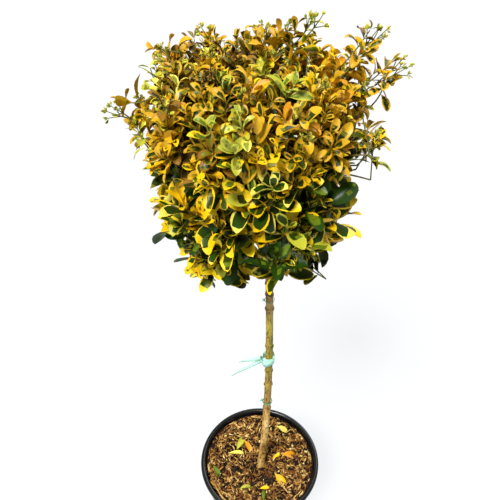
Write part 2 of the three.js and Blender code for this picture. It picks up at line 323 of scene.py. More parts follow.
KINDS = {
    "gold_edged": Variegation(
        ["gold", "gold", "deep_gold"], ["dark_green", "dark_green", "green"], ["green", "olive"], 0.44, 0.25),
    "broad_gold": Variegation(["gold", "deep_gold"], ["dark_green", "olive"], ["gold", "olive"], 0.68, 0.3),
    "all_gold": Variegation(
        ["gold", "gold", "deep_gold"], ["gold", "yellow"], ["deep_gold", "gold"], 0.5, 0.3),
    "yellow_edged": Variegation(
        ["yellow", "gold"], ["deep_green", "dark_green"], ["green", "pale_green"], 0.45, 0.3),
    "broad_yellow": Variegation(["yellow", "gold"], ["green", "olive"], ["lime", "yellow"], 0.7, 0.3),
    "amber_edged": Variegation(
        ["amber", "deep_gold"], ["olive", "dark_green"], ["dark_green", "olive"], 0.52, 0.3),
    "russet_edged": Variegation(["amber", "russet"], ["dark_green", "olive"], ["olive", "russet"], 0.45, 0.3),
    "all_amber": Variegation(
        ["amber", "deep_gold", "amber", "orange"], ["amber", "deep_gold"], ["olive", "amber"], 0.5, 0.2),
    "lime_tip": Variegation(["lime", "lemon"], ["lime", "pale_green"], ["lemon", "olive"], 0.5, 0.35),
    "lime_edged": Variegation(["lime", "yellow"], ["dark_green", "green"], ["pale_green", "green"], 0.4, 0.3),
    "thin_edged": Variegation(
        ["yellow", "lemon", "gold"], ["dark_green", "deep_green"], ["green", "dark_green"], 0.2, 0.25),
    "all_green": Variegation(["green", "deep_green"], ["deep_green", "green"], ["green"], 0.4, 0.2),
    # The two shaded kinds are painted shade: their dark tones stand in for the shade on leaves deep in the
    # head and on the oldest leaves.
    "shaded": Variegation(["dark_green", "dark_green", "olive"], ["shade"], ["dark_green"], 0.15, 0.2),
    "shaded_brown": Variegation(["russet", "painted_shade_brown"], ["painted_shade_brown"], ["painted_shade_brown", "olive"], 0.3, 0.2),
}


def leaf(gathering, foot, along, face, length, slim, curl, fold, kind, dealt, rng):
    """One leaf. It leaves foot along a direction, its upper side looks to face, and it curls back."""
    side = np.cross(along, face)
    ts = np.concatenate([[0.0], LEAF_ROWS, [1.0]])
    turn = curl * (0.5 * (ts[1:] + ts[:-1])) ** 1.5
    steps = np.diff(ts)[:, None] * (np.outer(np.cos(turn), along) - np.outer(np.sin(turn), face))
    midrib = np.concatenate([np.zeros((1, 3)), np.cumsum(steps, axis=0)])
    angle = curl * LEAF_ROWS**1.5
    lift = np.outer(np.cos(angle), face) + np.outer(np.sin(angle), along)
    twist = rng.normal(0, 0.35) * LEAF_ROWS[:, None]
    across = np.cos(twist) * side + np.sin(twist) * lift
    lift = np.cos(twist) * lift - np.sin(twist) * side
    half = LEAF_HALF_WIDTHS * slim
    reach = 1 - kind.margin_width * rng.uniform(0.5, 1.4, (len(half), 2))
    reach = np.clip(reach, 0.12, 0.93)
    edge, middle = np.ones(len(half)), np.zeros(len(half))
    columns = np.stack([-edge, -reach[:, 0], middle, reach[:, 1], edge], axis=1)
    ripple = 0.12 * np.sin(7 * LEAF_ROWS + rng.uniform(0, 6.3))
    rise = half[:, None] * (fold * np.abs(columns) ** 1.2 + ripple[:, None] * columns * np.abs(columns))
    flat = midrib[1:-1, None] + (columns * half[:, None])[..., None] * across[:, None]
    points = flat + rise[..., None] * lift[:, None]
    points = np.concatenate([points.reshape(-1, 3), midrib[:1], midrib[-1:]])
    margin, centre, flame = dealt
    central = LEAF_INNER & (LEAF_ROW >= rng.integers(0, 2)) & (LEAF_ROW < rng.integers(4, 8))
    flamed = central & (np.repeat(rng.random(len(central) // 2), 2) < kind.flame_share)
    colours = np.where(flamed, flame, np.where(central, centre, margin))
    gathering.add(foot + points * length, LEAF_TRIANGLES, colours)


# ---- Blossom: forked stalks of small buds ----

BUD_ROWS, BUD_SIDES = 4, 5


def bud(gathering, foot, along, length, colour):
    t = np.linspace(0.0, 1.0, BUD_ROWS)
    radii = length * 0.33 * np.sin(math.pi * (0.12 + 0.8 * t))
    gathering.add(*tube(foot + np.outer(t * length, along), radii, BUD_SIDES), colour)


def cyme(parts, foot, tip, rng):
    """A flower stalk from foot to tip that forks in three and forks again, with buds and small bracts."""
    length = np.linalg.norm(tip - foot)
    along = unit(tip - foot)
    fork = foot + along * length * 0.52
    bend = (foot + fork) / 2 + rng.normal(0, 0.04, 3) * length
    parts["stalks"].add(*tube(bent_path(foot, bend, fork, 5), np.linspace(1.1, 0.85, 5) * MM, 5), 0)
    first, second = two_sides(along)
    spin = rng.uniform(0, math.pi)
    bract_kind = KINDS["lime_tip"]
    for spread in (-0.7, 0.0, 0.7):
        outward = first * math.cos(spin) + second * math.sin(spin)
        way = unit(along + outward * spread + rng.normal(0, 0.1, 3))
        reach = length * (0.4 if spread == 0 else rng.uniform(0.26, 0.36))
        end = fork + way * reach
        parts["stalks"].add(*tube(np.linspace(fork, end, 3), np.array([0.85, 0.7, 0.6]) * MM, 4), 0)
        for _ in range(3):
            tipped = unit(way + rng.normal(0, 0.5, 3))
            point = end + tipped * 2.4 * MM
            parts["stalks"].add(*tube(np.linspace(end, point, 2), np.array([0.35, 0.3]) * MM, 3), 0)
            bud(parts["buds"], point, tipped, rng.uniform(3.0, 4.6) * MM, int(rng.random() < 0.4))
        for _ in range(2):
            opened = unit(way + rng.normal(0, 0.35, 3))
            face = square_to(-way + UP * 0.4, opened)
            leaf(parts["leaves"], end, opened, face, rng.uniform(6, 9) * MM, 1.0, 0.6, 0.5,
                 bract_kind, bract_kind.deal(rng), rng)


# ---- Sprays ----


def spray(parts, root, tip, kinds, rng, pairs, leaf_length, curl=0.7, rise=0.3, leafy=0.35, spread=1.0):
    """A young shoot from root to tip, with pairs of leaves set crosswise along its outer part.

    kinds are the kind of its young leaves and the kind of its oldest.
    """
    length = np.linalg.norm(tip - root)
    straight = unit(tip - root)
    bend = (root + tip) / 2 + (rng.normal(0, 0.06, 3) - UP * 0.08) * length
    path = bent_path(root, bend, tip, 6)
    parts["stems"].add(*tube(path, np.linspace(1.15, 0.7, 6) * MM, 5), 0)
    young, old = kinds
    dealt_young, dealt_old = young.deal(rng), old.deal(rng)
    spin = rng.uniform(0, math.pi)
    for i in range(pairs):
        age = 1 - i / max(pairs - 1, 1)
        kind, dealt = (old, dealt_old) if age > 0.6 else (young, dealt_young)
        t = 1 - age * (1 - leafy)
        foot = (1 - t) ** 2 * root + 2 * t * (1 - t) * bend + t**2 * tip
        stem = unit((1 - t) * (bend - root) + t * (tip - bend))
        first, second = two_sides(stem)
        spin += math.pi / 2 + rng.normal(0, 0.3)
        for half_turn in (0, math.pi):
            outward = first * math.cos(spin + half_turn) + second * math.sin(spin + half_turn)
            opening = math.radians((22 + 40 * age) * spread + rng.normal(0, 11))
            along = stem * math.cos(opening) + outward * math.sin(opening)
            along = unit(along + UP * rise * (1.1 - 0.5 * age) + rng.normal(0, 0.1, 3))
            face = square_to(stem + UP * 0.45 + straight * 0.3 + rng.normal(0, 0.2, 3), along)
            size = leaf_length * (0.6 + 0.4 * min(1.0, 1.6 * age)) * rng.uniform(0.82, 1.15)
            leaf(parts["leaves"], foot, along, face, size, rng.uniform(0.7, 0.93),
                 curl * rng.uniform(0.3, 1.5), rng.uniform(0.15, 0.65), kind, dealt, rng)


# ---- Reading the frame ----


def node_points(name):
    mesh = nodes[name].data
    points = np.zeros(3 * len(mesh.vertices), np.float32)
    mesh.vertices.foreach_get("co", points)
    return points.reshape(-1, 3).astype(float)


def node_triangles(name):
    """The corners of each triangle, (n, 3, 3)."""
    mesh = nodes[name].data
    mesh.calc_loop_triangles()
    corners = np.zeros(3 * len(mesh.loop_triangles), np.int32)
    mesh.loop_triangles.foreach_get("vertices", corners)
    return node_points(name)[corners.reshape(-1, 3)]


mass_names = sorted(name for name in nodes if name.startswith("foliage_"))
shoot_names = sorted(name for name in nodes if name.startswith("shoot_"))
bough_names = sorted(name for name in nodes if name.startswith("bough_"))
crown_points = np.concatenate([node_points(name) for name in mass_names])
crown_low, crown_high = crown_points.min(0), crown_points.max(0)
crown_middle = (crown_low + crown_high) / 2
crown_height = crown_high[2] - crown_low[2]
trunk_points = node_points("trunk")


# ---- The head of leaves ----

SEED = 20
# How far apart the sprays' tips are at the head's foot, middle and top, and inside it.
LOW_SPACING = 31 * MM
MIDDLE_SPACING = 28.5 * MM
TOP_SPACING = 22 * MM
INNER_SPACING = 40 * MM
CANDIDATES = 26000
LEAF_DEPTH = 11 * MM  # how far under the solid's face a spray's tip stops
FLANK_DEPTH = 150 * MM  # how much deeper at the head's widest, for each half of its width
BACK_DEPTH = 6 * MM
HOLLOWS_PER_METRE = 16
HOLLOW_DEPTH = 56 * MM
# How deep, how long in the stem and how long in the leaf the sprays of the two layers are.
OUTER_STEM_MM, OUTER_LEAF_MM = (44, 60), (40, 51)
INNER_DEPTH_MM, INNER_STEM_MM, INNER_LEAF_MM = (48, 74), (30, 42), (26, 34)
# The flanks that are drawn in: from how far out, at what height in the head and over how much of it.
FLANK_FROM, FLANK_HEIGHT, FLANK_SPAN = 0.74, 0.76, 0.24


def surface_samples(rng):
    """Random places on the outer faces of the masses: points, normals and which mass."""
    corners = [node_triangles(name) for name in mass_names]
    owner = np.concatenate([np.full(len(c), i) for i, c in enumerate(corners)])
    corners = np.concatenate(corners)
    cross = np.cross(corners[:, 1] - corners[:, 0], corners[:, 2] - corners[:, 0])
    area = np.linalg.norm(cross, axis=1)
    picked = rng.choice(len(corners), CANDIDATES, p=area / area.sum())
    a, b = rng.random(CANDIDATES), rng.random(CANDIDATES)
    over = a + b > 1
    a[over], b[over] = 1 - a[over], 1 - b[over]
    c = corners[picked]
    points = c[:, 0] + a[:, None] * (c[:, 1] - c[:, 0]) + b[:, None] * (c[:, 2] - c[:, 0])
    normals = cross[picked] / area[picked][:, None]
    everything = corners.reshape(-1, 3)
    tree = BVHTree.FromPolygons(everything.tolist(), np.arange(len(everything)).reshape(-1, 3).tolist())
    outer = np.array([
        tree.ray_cast(Vector(p + n * 0.6 * MM), Vector(n), 45 * MM)[0] is None
        for p, n in zip(points, normals)
    ])
    outer &= np.einsum("ij,ij->i", normals, points - crown_middle) > 0.02 * crown_height
    return points[outer], normals[outer], owner[picked][outer]


def thinned(points, spacing):
    """Which points to keep so that none is nearer to an earlier one than its own spacing."""
    kept = []
    for i, (point, apart) in enumerate(zip(points, np.broadcast_to(spacing, len(points)))):
        if not kept or np.min(np.linalg.norm(points[kept] - point, axis=1)) > apart:
            kept.append(i)
    return np.array(kept)


def height_in_head(points):
    """0 at the head's foot and 1 at its top."""
    return (points[..., 2] - crown_low[2]) / crown_height


def dealt_kind(shares, rng):
    names, weights = list(shares), np.array(list(shares.values()), float)
    return KINDS[names[rng.choice(len(names), p=weights / weights.sum())]]


def kinds_for(height, side, rng):
    """Deals a spray the kinds of its young leaves and of its oldest.

    side is -1 at the head's left and 1 at its right.
    """
    if height > 0.72:
        young = {
            "all_amber": 19, "amber_edged": 33, "russet_edged": 12,
            "broad_gold": 14, "lime_edged": 14, "lime_tip": 8,
        }
        if side < -0.45:
            young["lime_tip"] += 24
        old = {"russet_edged": 28, "amber_edged": 40, "lime_edged": 14, "shaded_brown": 18}
    elif height > 0.4:
        young = {"gold_edged": 38, "broad_gold": 15, "all_gold": 7, "lime_edged": 14, "thin_edged": 26}
        old = {"thin_edged": 44, "lime_edged": 16, "all_green": 22, "shaded": 18}
    else:
        young = {"yellow_edged": 32, "thin_edged": 18, "broad_yellow": 25, "all_green": 9, "lime_edged": 16}
        old = {"thin_edged": 40, "all_green": 40, "shaded": 20}
    return dealt_kind(young, rng), dealt_kind(old, rng)


def bough_end(mass):
    """Where the mass's bough meets it."""
    middle = node_points(mass).mean(0)
    points = node_points(mass.replace("foliage", "bough"))
    order = np.argsort(np.linalg.norm(points - middle, axis=1))
    return points[order[:10]].mean(0)


def clustered(points, count, rng):
    """k-means: which of count groups each point is in."""
    centres = points[rng.choice(len(points), count, replace=False)]
    for _ in range(8):
        group = np.argmin(np.linalg.norm(points[:, None] - centres[None], axis=2), axis=1)
        centres = np.array([
            points[group == k].mean(0) if np.any(group == k) else centres[k]
            for k in range(count)
        ])
    return group


TWIG_STEPS, TWIG_SIDES = 7, 6


def twig(parts, start, end, thick, thin, rng):
    bend = (start + end) / 2 + rng.normal(0, 0.08, 3) * np.linalg.norm(end - start) - UP * 4 * MM
    path = bent_path(start, bend, end, TWIG_STEPS)
    parts["twigs"].add(*tube(path, np.linspace(thick, thin, TWIG_STEPS), TWIG_SIDES), 0)


def grow_branches(parts, origin, roots, rng):
    """From the end of a bough, forks out by nearness to every spray's root."""
    count = max(1, round(len(roots) / 6))
    group = clustered(roots, count, rng) if count > 1 else np.zeros(len(roots), int)
    for k in range(count):
        members = roots[group == k]
        if not len(members):
            continue
        fork = origin + (members.mean(0) - origin) * 0.55
        twig(parts, origin, fork, 1.9 * MM, 1.5 * MM, rng)
        for root in members:
            twig(parts, fork, root, 1.35 * MM, 0.95 * MM, rng)


def spray_direction(point, normal, rng):
    """Shoots grow out of the head and turn up, less so under it."""
    lift = 0.05 + 0.85 * min(max(height_in_head(point), 0), 1)
    return unit(normal * 0.75 + UP * lift + rng.normal(0, 0.24, 3))


def flank_share(height, side):
    """How much of a flank's drawing in a place gets."""
    off_height = abs(height - FLANK_HEIGHT + 0.04 * side)
    return max(0.0, abs(side) - FLANK_FROM) * max(0.0, 1 - off_height / FLANK_SPAN)


def grow_head():
    """All sprays of all masses. Returns the gatherings, by ring of masses."""
    rng = np.random.default_rng(SEED)
    points, normals, owner = surface_samples(rng)
    spacing = np.interp(height_in_head(points), [0.1, 0.45, 0.8], [LOW_SPACING, MIDDLE_SPACING, TOP_SPACING])
    outer = thinned(points, spacing)
    inner = len(points) - 1 - thinned(points[::-1], INNER_SPACING)
    made = {}
    for index, mass in enumerate(mass_names):
        ring = mass.split("_")[1]
        parts = made.setdefault(ring, gatherings("leaves", "stems", "twigs"))
        roots = []
        for layer, chosen in (("outer", outer), ("inner", inner)):
            for i in chosen[owner[chosen] == index]:
                point, normal = points[i], normals[i]
                height = height_in_head(point)
                side = (point[0] - crown_middle[0]) / (0.5 * (crown_high[0] - crown_low[0]))
                way = spray_direction(point, normal, rng)
                high = min(max((height - 0.6) / 0.25, 0), 1)
                flank = flank_share(height, side)
                if layer == "outer":
                    under = 1 + 1.6 * max(0.0, -normal[2])
                    lump = max(0.0, noise.noise(Vector(point) * HOLLOWS_PER_METRE))
                    hollow = lump * HOLLOW_DEPTH * (1 - 0.5 * high)
                    depth = LEAF_DEPTH * (under - 0.7 * high) * rng.uniform(0.6, 2.0)
                    depth += FLANK_DEPTH * flank + BACK_DEPTH * max(0.0, normal[1])
                    tip = point - normal * (depth + hollow)
                    kinds = kinds_for(height, side, rng)
                    pairs, length = rng.integers(3, 6), rng.uniform(*OUTER_STEM_MM) * MM
                    leaf_length = rng.uniform(*OUTER_LEAF_MM) * MM * (1 - 0.3 * high)
                else:
                    depth = rng.uniform(*INNER_DEPTH_MM) * MM * (1 + 0.25 * high) + FLANK_DEPTH * flank
                    tip = point - normal * depth
                    shade = "shaded" if rng.random() > high else "shaded_brown"
                    kinds = (KINDS[shade if rng.random() < 0.85 - 0.35 * high else "russet_edged"],) * 2
                    pairs, length = 4, rng.uniform(*INNER_STEM_MM) * MM
                    leaf_length = rng.uniform(*INNER_LEAF_MM) * MM * (1 - 0.3 * high)
                curl = 0.65 + 0.55 * high
                rise = -0.08 + 0.75 * min(max(height, 0), 0.55)
                root = tip - way * length
                spray(parts, root, tip, kinds, rng, pairs, leaf_length, curl, rise)
                roots.append(root)
        grow_branches(parts, bough_end(mass), np.array(roots), rng)
    return made


# ---- Sprays and flower stalks that stand out of the head ----

SPRAYS_ON_SHOOT = 4
STALKS_ON_SHOOT = 2
SHOOT_FILL = 0.9  # how much of its box a shoot's line runs through
STALK_START = 0.35  # how far along its shoot a flower stalk starts
STEM_OF_STANDING = 52 * MM
# Bands of the head that bear standing sprays: between which heights in the head, how far apart their tips
# are, how deep, how upright, and their leaves' length in millimetres.
RIM_BAND = {"low": 0.93, "high": 1.0, "spacing": 54 * MM, "depth": -7 * MM, "upright": 3.0, "leaf": (24, 31)}
SIDE_BAND = {
    "low": 0.04, "high": 0.86, "spacing": 140 * MM, "depth": 6 * MM, "upright": 0.2, "leaf": (34, 41),
}


def near_bough(point):
    """The end of the bough that is nearest to a point."""
    ends = np.array([bough_end(mass) for mass in mass_names])
    return ends[np.argmin(np.linalg.norm(ends - point, axis=1))]


def shoot_ends(name):
    """Where a shoot leaves the head and where it ends, from its box in the frame."""
    low, high = (np.array(corner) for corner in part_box(name))
    middle, half = (low + high) / 2, (high - low) / 2
    outward = unit((middle - crown_middle) * np.array([1, 1, 0]))
    lean = SHOOT_FILL * half * (outward + UP)
    return middle - lean, middle + lean


def standing_spray(parts, tip, way, leaf_range, rng):
    """A bright spray that stands out of the head, on a twig from the nearest bough."""
    root = tip - way * STEM_OF_STANDING
    side = (tip[0] - crown_middle[0]) / (crown_high[0] - crown_middle[0])
    young, _ = kinds_for(height_in_head(tip), side, rng)
    leaf_mm = rng.uniform(*leaf_range)
    curl = 1.1 if leaf_mm < 32 else 0.8
    spray(parts, root, tip, (young, young), rng, 4, leaf_mm * MM, curl, 0.0, 0.45, 1.3)
    twig(parts, near_bough(root), root, 1.5 * MM, 1.1 * MM, rng)


def grow_shoot(parts, name, rng):
    foot, tip = shoot_ends(name)
    along = unit(tip - foot)
    for i in range(SPRAYS_ON_SHOOT):
        place = foot + (tip - foot) * (0.2 + 0.6 * i / (SPRAYS_ON_SHOOT - 1))
        way = unit(along + rng.normal(0, 0.35, 3))
        standing_spray(parts, place + rng.normal(0, 7, 3) * MM, way, (26, 33), rng)
    for _ in range(STALKS_ON_SHOOT):
        start = foot + (tip - foot) * STALK_START
        end = tip + rng.normal(0, 8, 3) * MM
        end[2] = min(end[2], tip[2])
        cyme(parts, start, end, rng)


def grow_band(parts, band, rng):
    points, normals, _ = surface_samples(rng)
    heights = height_in_head(points)
    inside = (heights > band["low"]) & (heights < band["high"])
    points, normals = points[inside], normals[inside]
    for i in thinned(points, band["spacing"]):
        way = unit(normals[i] + UP * band["upright"] + rng.normal(0, 0.2, 3))
        standing_spray(parts, points[i] - normals[i] * band["depth"], way, band["leaf"], rng)


def grow_standing():
    rng = np.random.default_rng(SEED + 1)
    parts = gatherings("leaves", "stems", "twigs", "stalks", "buds")
    for name in shoot_names:
        grow_shoot(parts, name, rng)
    for band in (RIM_BAND, SIDE_BAND):
        grow_band(parts, band, rng)
    return parts


def grow_top_flowers(parts):
    """More flower stalks among the leaves all round the top of the head."""
    rng = np.random.default_rng(SEED + 2)
    points, normals, _ = surface_samples(rng)
    high = points[:, 2] > crown_low[2] + 0.85 * crown_height
    points, normals = points[high], normals[high]
    for i in thinned(points, 70 * MM):
        way = unit(normals[i] * 0.4 + UP + rng.normal(0, 0.2, 3))
        cyme(parts, points[i] - way * 20 * MM, points[i] + way * rng.uniform(4, 12) * MM, rng)


head = grow_head()
standing = grow_standing()
grow_top_flowers(standing)

young_stem = Shader("young_stem", "8f9a3c", 0.5)
young_stem.colour(young_stem.ramp(young_stem.noise(90), [(0.35, "4a5518"), (0.65, "7c7c30")]))
young_stem.bump(young_stem.noise(900), 0.2, 0.2 * MM)
twig_bark = Shader("twig_bark", "6b5a34", 0.7)
twig_bark.colour(twig_bark.ramp(twig_bark.noise(160), [(0.3, "453a1f"), (0.7, "85713f")]))
twig_bark.bump(twig_bark.noise(1200), 0.4, 0.3 * MM)
bud_greens = [leaf_material("bud_green", "8c9c2e", 0.5, 0.3), leaf_material("bud_yellow", "c4b83a", 0.5, 0.3)]

pieces = []


def keep(piece, slot, *replaced):
    """Every piece rides on the plant's one body, and the frame's parts it stands for are hidden; slot is not
    used.
    """
    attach(piece, "root")
    if replaced:
        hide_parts(*replaced)
    pieces.append(piece)
    return piece


stems, twigs = Gathering(), Gathering()


def pour(source, target):
    offset = target.count
    for points, triangles, colours in zip(source.points, source.triangles, source.colours):
        target.points.append(points)
        target.triangles.append(triangles + offset)
        target.colours.append(colours)
    target.count += source.count


for ring, parts in sorted(head.items()):
    replaced = [name for name in mass_names if name.split("_")[1] == ring]
    keep(parts["leaves"].make("leaves_" + ring, leaf_tones), "foliage", *replaced)
    pour(parts["stems"], stems)
    pour(parts["twigs"], twigs)
keep(standing["leaves"].make("leaves_shoots", leaf_tones), "foliage", *shoot_names)
pour(standing["stems"], stems)
pour(standing["twigs"], twigs)
keep(stems.make("young_stems", [young_stem.material]), "foliage")
keep(twigs.make("twigs", [twig_bark.material]), "bark")
keep(standing["stalks"].make("flower_stalks", [young_stem.material]), "foliage")
keep(standing["buds"].make("flower_buds", bud_greens), "foliage")

# ---- Trunk and boughs, with the bark's relief ----

BARK_SIDES = 56
BARK_STEP = 1.5 * MM
FLARE_HEIGHT = 14 * MM  # how high the stem's lobed foot reaches
# Heights of the rings left by old leaves, and which way round each pair of scars lies.
SCARS = [
    (0.372, 0.3), (0.468, 1.9), (0.548, 0.2), (0.593, 1.2),
    (0.667, 2.2), (0.766, 0.2), (0.801, 1.9), (0.828, 1.0),
]


def scar_darkness(angle, z):
    """How dark a scar makes the bark at a place on the trunk, 0 to 1."""
    dark = 0.0
    for height, turn in SCARS:
        off = (z - height) / MM
        if abs(off) < 14:
            two_lobed = 0.5 + 0.5 * math.cos(2 * (angle - turn))
            wander = 1.2 * math.sin(3 * angle + 40 * height)
            dark += two_lobed**5 * math.exp(-(((off - 3.2) / 1.9) ** 2))
            dark += 0.55 * math.exp(-(((off - wander - 3.1) / 0.9) ** 2))
    return min(dark, 1.0)


def bark_relief(angle, z, radius):
    """How far the bark stands proud at a place on the trunk, in metres."""
    around = radius * angle
    place = Vector((math.cos(angle) * radius * 260, math.sin(angle) * radius * 260, z * 60))
    ridges = noise.noise(place)
    grain = noise.noise(Vector((math.cos(angle) * radius * 900, math.sin(angle) * radius * 900, z * 420)))
    proud = 0.32 * ridges + 0.13 * grain
    for height, turn in SCARS:
        off = (z - height) / MM
        if abs(off) > 14:
            continue
        two_lobed = 0.5 + 0.5 * math.cos(2 * (angle - turn))
        wander = 1.2 * math.sin(3 * angle + 40 * height)
        proud += (0.5 + 0.9 * two_lobed) * math.exp(-(((off - wander) / 2.0) ** 2))
        proud -= 0.55 * math.exp(-(((off - wander - 3.1) / 0.9) ** 2))
        proud += 1.3 * two_lobed**6 * math.exp(-(((off - 4.4) / 1.5) ** 2))
    return proud * MM


def trunk_mesh():
    levels = np.unique(np.round(trunk_points[:, 2], 4))
    centres = np.array([trunk_points[np.abs(trunk_points[:, 2] - z) < 1e-4].mean(0) for z in levels])
    radii = np.array([
        0.96 * np.linalg.norm((trunk_points[np.abs(trunk_points[:, 2] - z) < 1e-4] - c)[:, :2], axis=1).max()
        for z, c in zip(levels, centres)
    ])
    zs = np.linspace(levels[0], levels[-1], int((levels[-1] - levels[0]) / BARK_STEP))
    angles = np.linspace(0, 2 * math.pi, BARK_SIDES, endpoint=False)
    rings, darkness = [], []
    for z in zs:
        darkness += [scar_darkness(a, z) for a in angles]
        x, y, radius = (np.interp(z, levels, values) for values in (centres[:, 0], centres[:, 1], radii))
        foot = max(0.0, 1 - (z - levels[0]) / FLARE_HEIGHT)
        reach = [
            radius * (1 + 0.22 * foot * math.cos(3 * a + 0.7)) + bark_relief(a, z, radius)
            for a in angles
        ]
        ring = [x + reach * np.cos(angles), y + reach * np.sin(angles), np.full(BARK_SIDES, z)]
        rings.append(np.stack(ring, axis=1))
    points = np.concatenate([*rings, [[*centres[0][:2], zs[0]]], [[*centres[-1][:2], zs[-1]]]])
    foot, top = len(points) - 2, len(points) - 1
    caps = end_caps(foot, top, (len(zs) - 1) * BARK_SIDES, BARK_SIDES)
    triangles = np.concatenate([grid_triangles(len(zs), BARK_SIDES, True), caps])
    return points, triangles, np.array(darkness + [0.0, 0.0])


def bark_material():
    shader = Shader("bark", "9a8450", 0.72)
    low_stops = [(0.32, "85601f"), (0.5, "c29848"), (0.68, "ecca82")]
    low = shader.ramp(shader.noise(55, 5, (1, 1, 0.25)), low_stops)
    olive_stops = [(0.33, "6c5f16"), (0.52, "aa982e"), (0.7, "d2bf50")]
    olive = shader.ramp(shader.noise(48, 5, (1, 1, 0.35)), olive_stops)
    high_stops = [(0.33, "725826"), (0.52, "ac8d4a"), (0.7, "d4b870")]
    high = shader.ramp(shader.noise(60, 5, (1, 1, 0.3)), high_stops)
    height = shader.node("ShaderNodeSeparateXYZ")
    shader.link(shader.place, height.inputs["Vector"])
    above_low = shader.ramp(height.outputs["Z"], [(0.5, "000000"), (0.61, "ffffff")])
    near_top = shader.ramp(height.outputs["Z"], [(0.725, "000000"), (0.775, "ffffff")])
    skin = shader.mix(near_top, shader.mix(above_low, low, olive), high)
    flecks = shader.ramp(shader.noise(300, 5, (1, 1, 0.3)), [(0.52, "000000"), (0.62, "ffffff")])
    skin = shader.mix(flecks, skin, "5e4316")
    scar = shader.node("ShaderNodeAttribute", attribute_name="scar")
    shader.colour(shader.mix(scar.outputs["Fac"], skin, "3b210c"))
    shader.rough_between(shader.noise(300), 0.55, 0.85)
    shader.bump(shader.noise(1500, 4, (1, 1, 0.3)), 0.5, 0.35 * MM)
    return shader.material


bark = bark_material()
bark_points, bark_triangles, bark_darkness = trunk_mesh()
trunk_bark = keep(mesh_object("trunk_bark", bark_points, bark_triangles, [bark]), "bark", "trunk")
scar_values = trunk_bark.data.attributes.new("scar", "FLOAT", "POINT")
scar_values.data.foreach_set("value", bark_darkness.astype(np.float32))


def bough_path(name):
    """The middle line of a bough, read from the frame's solid."""
    points = node_points(name)
    start = trunk_points[np.argmax(trunk_points[:, 2])]
    order = np.argsort(np.linalg.norm(points - start, axis=1))
    groups = np.array_split(points[order], 7)
    path = np.array([g.mean(0) for g in groups])
    path[0] += (path[0] - path[1]) * 0.4
    path[-1] += (path[-1] - path[-2]) * 0.4
    return path


BOUGH_STEPS, BOUGH_SIDES, BOUGH_SMOOTHINGS = 40, 16, 6
BOUGH_RADII_MM = (3.1, 1.9)
boughs = Gathering()
for name in bough_names:
    coarse = bough_path(name)
    t = np.linspace(0, 1, len(coarse))
    fine_t = np.linspace(0, 1, BOUGH_STEPS)
    path = np.stack([np.interp(fine_t, t, coarse[:, k]) for k in range(3)], axis=1)
    for _ in range(BOUGH_SMOOTHINGS):
        path[1:-1] = (path[:-2] + path[1:-1] * 2 + path[2:]) / 4
    radii = np.linspace(*BOUGH_RADII_MM, BOUGH_STEPS) * MM
    points, triangles = tube(path, radii, BOUGH_SIDES)
    for i in range(len(path)):
        ring = slice(i * BOUGH_SIDES, (i + 1) * BOUGH_SIDES)
        bumps = np.array([noise.noise(Vector(p * 420)) for p in points[ring]])
        points[ring] += (points[ring] - path[i]) / radii[i] * (bumps * 0.35 * MM)[:, None]
    boughs.add(points, triangles, 0)
keep(boughs.make("bough_bark", [bark]), "bark", *bough_names)

# ---- Pot ----

pot_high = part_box("pot")[1]
POT_SIDES = 144
POT_WALL = 3 * MM
POT_FLOOR = 4 * MM
POT_FOOT = 104 * MM
POT_ROLL = 5.5 * MM
POT_COLLAR = 26 * MM
POT_COLLAR_STEP = 3 * MM


def arc(centre, radius, start, end, steps):
    turns = np.radians(np.linspace(start, end, steps))
    return [(centre[0] + radius * math.cos(a), centre[1] + radius * math.sin(a)) for a in turns]


def pot_profile():
    rim, top = pot_high[0], pot_high[2]
    inner = rim - 2 * POT_ROLL
    wall_top = inner + POT_WALL
    ledge = top - POT_COLLAR
    slope = (wall_top - POT_FOOT) / (ledge - POT_FLOOR)
    profile = [(0, 0), (POT_FOOT * 0.6, 0), (POT_FOOT - 5 * MM, 0)]
    profile += arc((POT_FOOT - 4 * MM, 4 * MM), 4 * MM, -80, -5, 6)
    for share in (0.2, 0.4, 0.6, 0.8, 0.96):
        z = POT_FLOOR + share * (ledge - POT_FLOOR)
        profile.append((POT_FOOT + slope * (z - POT_FLOOR), z))
    profile += [(wall_top, ledge - 1.5 * MM)]
    profile += arc((wall_top + POT_COLLAR_STEP - 1.5 * MM, ledge + 1.5 * MM), 1.5 * MM, -90, 0, 5)
    profile += [(wall_top + POT_COLLAR_STEP, top - 2 * POT_ROLL - 1 * MM)]
    profile += arc((rim - POT_ROLL, top - POT_ROLL), POT_ROLL, -30, 180, 16)
    profile += [(inner, ledge)]
    for share in (0.75, 0.5, 0.25, 0.04):
        z = POT_FLOOR + share * (ledge - POT_FLOOR)
        profile.append((POT_FOOT + slope * (z - POT_FLOOR) - POT_WALL, z))
    profile += [(POT_FOOT - POT_WALL - 3 * MM, POT_FLOOR), (POT_FOOT * 0.5, POT_FLOOR), (0, POT_FLOOR)]
    return np.array(profile)


def lathe(profile, sides):
    """A body turned round +Z from (radius, height) points, the first and last on the axis."""
    angles = np.linspace(0, 2 * math.pi, sides, endpoint=False)
    body = profile[1:-1]
    rings = np.stack([
        body[:, None, 0] * np.cos(angles), body[:, None, 0] * np.sin(angles),
        np.broadcast_to(body[:, None, 1], (len(body), sides)),
    ], axis=2).reshape(-1, 3)
    points = np.concatenate([rings, [[0, 0, profile[0][1]], [0, 0, profile[-1][1]]]])
    first, last = len(rings), len(rings) + 1
    caps = end_caps(first, last, (len(body) - 1) * sides, sides)
    return points, np.concatenate([grid_triangles(len(body), sides, True), caps])


